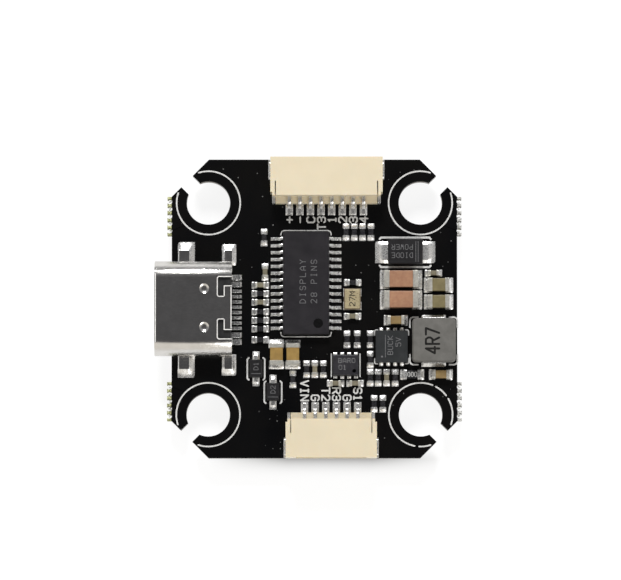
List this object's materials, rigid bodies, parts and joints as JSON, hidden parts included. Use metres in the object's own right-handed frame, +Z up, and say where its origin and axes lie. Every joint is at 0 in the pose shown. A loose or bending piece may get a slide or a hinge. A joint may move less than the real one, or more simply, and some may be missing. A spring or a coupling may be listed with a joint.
{
  "type": "flight controller board",
  "caption": "Square drone flight controller board with open corner grommet holes, a USB-C socket, two side-entry wire sockets and parts on both faces.",
  "frame": {"origin": "centre of the 20 x 20 mm mounting-hole pattern on the board's underside", "axes": "+Z up out of the face with the USB-C socket and the wire sockets; -X out of the USB-C socket's mouth; +Y out of the eight-way socket's mouth"},
  "size_m": [0.0289, 0.0282, 0.0063],
  "materials": {
    "board": "black solder mask",
    "solder": "tinned solder",
    "shell": "nickel plate",
    "nylon": "natural nylon",
    "black_moulding": "black moulded plastic",
    "gold": "gold flash",
    "epoxy": "moulded epoxy",
    "leads": "tinned copper",
    "ceramic_tan": "fired ceramic",
    "ceramic_olive": "fired ceramic",
    "ceramic_gold": "fired ceramic",
    "resistor_black": "glazed resistor",
    "ferrite": "pressed iron powder",
    "copper": "enamelled copper",
    "lid_metal": "plated lid",
    "dark_metal": "dark nickel lid",
    "crystal_tray": "dark ceramic",
    "led_lens": "clear epoxy",
    "button": "black nylon"
  },
  "bodies": {
    "board": {"circuit_board": "board", "solder_pads_top": "solder", "solder_pads_bottom": "solder", "usb_shell": "shell", "usb_insulator": "black_moulding", "usb_contacts": "gold", "usb_mid_plate": "shell", "esc_socket_housing": "nylon", "esc_socket_contacts": "leads", "esc_socket_anchors": "leads", "vtx_socket_housing": "nylon", "vtx_socket_contacts": "leads", "vtx_socket_anchors": "leads", "osd_chip_body": "epoxy", "osd_chip_leads": "leads", "oscillator_base": "crystal_tray", "oscillator_lid": "lid_metal", "schottky_diode_body": "epoxy", "schottky_diode_leads": "leads", "buck_regulator_body": "epoxy", "buck_regulator_leads": "leads", "barometer_base": "black_moulding", "barometer_lid": "dark_metal", "tvs_diode_bodies": "epoxy", "tvs_diode_leads": "leads", "inductor_core": "ferrite", "inductor_coil": "copper", "inductor_terminals": "leads", "bulk_capacitor_bodies": "ceramic_tan", "bulk_capacitor_terminals": "leads", "output_capacitor_bodies": "ceramic_olive", "output_capacitor_terminals": "leads", "filter_capacitor_bodies": "ceramic_gold", "filter_capacitor_terminals": "leads", "resistor_0402_bodies": "resistor_black", "resistor_0402_terminals": "leads", "capacitor_0402_bodies": "ceramic_olive", "capacitor_0402_terminals": "leads", "jumper_resistor_body": "resistor_black", "jumper_resistor_terminals": "leads", "processor_body": "epoxy", "processor_leads": "leads", "gyro_sensor_body": "epoxy", "gyro_sensor_pads": "leads", "flash_memory_body": "epoxy", "flash_memory_pads": "leads", "regulator_3v3_body": "epoxy", "regulator_3v3_leads": "leads", "processor_crystal_base": "crystal_tray", "processor_crystal_lid": "lid_metal", "boot_switch_base": "black_moulding", "boot_switch_cover": "shell", "boot_switch_dome": "shell", "status_led_bodies": "led_lens", "status_led_terminals": "leads"},
    "boot_button": {"boot_switch_plunger": "button"}
  },
  "joints": [
    {"name": "boot_press", "type": "slide", "parent": "board", "child": "boot_button", "axis": [0, 0, 1], "range_m": [0, 0.0002], "stiffness_N_per_m": 2000, "springref_m": -0.0006, "deforming": ["boot_switch_dome"]}
  ]
}
